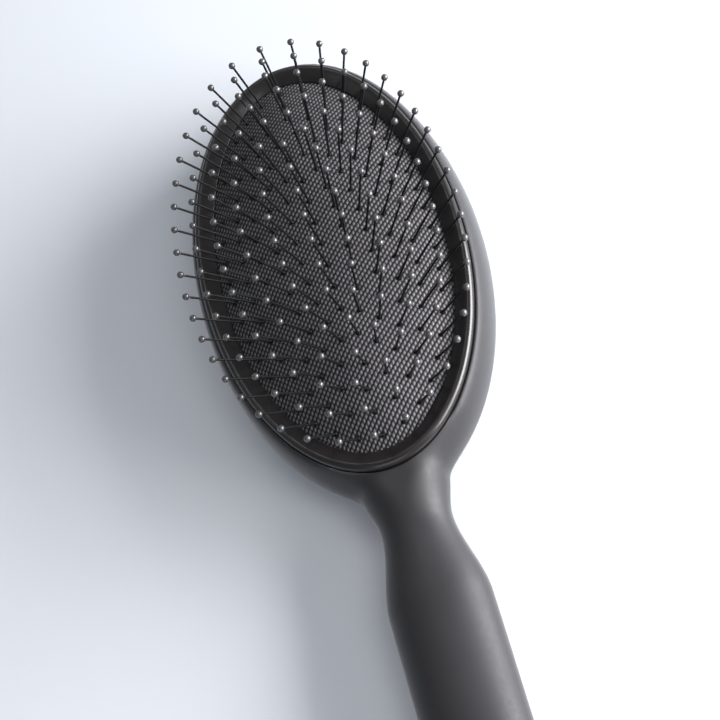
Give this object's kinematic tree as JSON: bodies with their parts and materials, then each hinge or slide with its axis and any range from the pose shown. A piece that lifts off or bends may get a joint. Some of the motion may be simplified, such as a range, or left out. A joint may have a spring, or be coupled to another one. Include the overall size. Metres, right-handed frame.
{
  "type": "paddle hairbrush",
  "caption": "Oval cushioned paddle hairbrush with a soft-touch handle, a gloss bezel ring, a woven-faced air cushion and fanned ball-tipped pins for detangling and smoothing hair.",
  "frame": {"origin": "centre of the head on the flat back that the brush lies on", "axes": "+Z out of the cushion along the pins, +Y along the brush towards the tip of the head, -Y towards the end of the handle, +X across the head"},
  "size_m": [0.0756, 0.2468, 0.0423],
  "materials": {
    "soft_touch_shell": "soft-touch matte charcoal black",
    "bezel": "satin to gloss black, moulded",
    "cushion_rubber": "matte black rubber",
    "woven_mesh": "fine woven mesh of dark grey thread",
    "pin_nylon": "glossy black nylon"
  },
  "bodies": {
    "brush_body": {"handle_body": "soft_touch_shell", "bezel_ring": "bezel", "cushion_rubber": "cushion_rubber", "woven_facing": "woven_mesh"},
    "centre_row": {"pins_centre_row": "pin_nylon"},
    "loop_1": {"pins_loop_1": "pin_nylon"},
    "loop_2": {"pins_loop_2": "pin_nylon"},
    "loop_3": {"pins_loop_3": "pin_nylon"},
    "loop_4": {"pins_loop_4": "pin_nylon"},
    "loop_5": {"pins_loop_5": "pin_nylon"}
  },
  "joints": [
    {"name": "cushion_press", "type": "slide", "parent": "brush_body", "child": "centre_row", "axis": [0, 0, -1], "range_m": [0, 0.0052], "stiffness_N_per_m": 1800, "deforming": ["cushion_rubber", "woven_facing"]},
    {"name": "loop_1_press", "type": "slide", "parent": "brush_body", "child": "loop_1", "axis": [0, 0, -1], "range_m": [0, 0.00498]},
    {"name": "loop_2_press", "type": "slide", "parent": "brush_body", "child": "loop_2", "axis": [0, 0, -1], "range_m": [0, 0.0044]},
    {"name": "loop_3_press", "type": "slide", "parent": "brush_body", "child": "loop_3", "axis": [0, 0, -1], "range_m": [0, 0.00352]},
    {"name": "loop_4_press", "type": "slide", "parent": "brush_body", "child": "loop_4", "axis": [0, 0, -1], "range_m": [0, 0.00238]},
    {"name": "loop_5_press", "type": "slide", "parent": "brush_body", "child": "loop_5", "axis": [0, 0, -1], "range_m": [0, 0.00097]}
  ],
  "couplings": [
    {"joint": "loop_1_press", "follows": "cushion_press", "ratio": 0.9564},
    {"joint": "loop_2_press", "follows": "cushion_press", "ratio": 0.8448},
    {"joint": "loop_3_press", "follows": "cushion_press", "ratio": 0.6762},
    {"joint": "loop_4_press", "follows": "cushion_press", "ratio": 0.4563},
    {"joint": "loop_5_press", "follows": "cushion_press", "ratio": 0.1858}
  ]
}
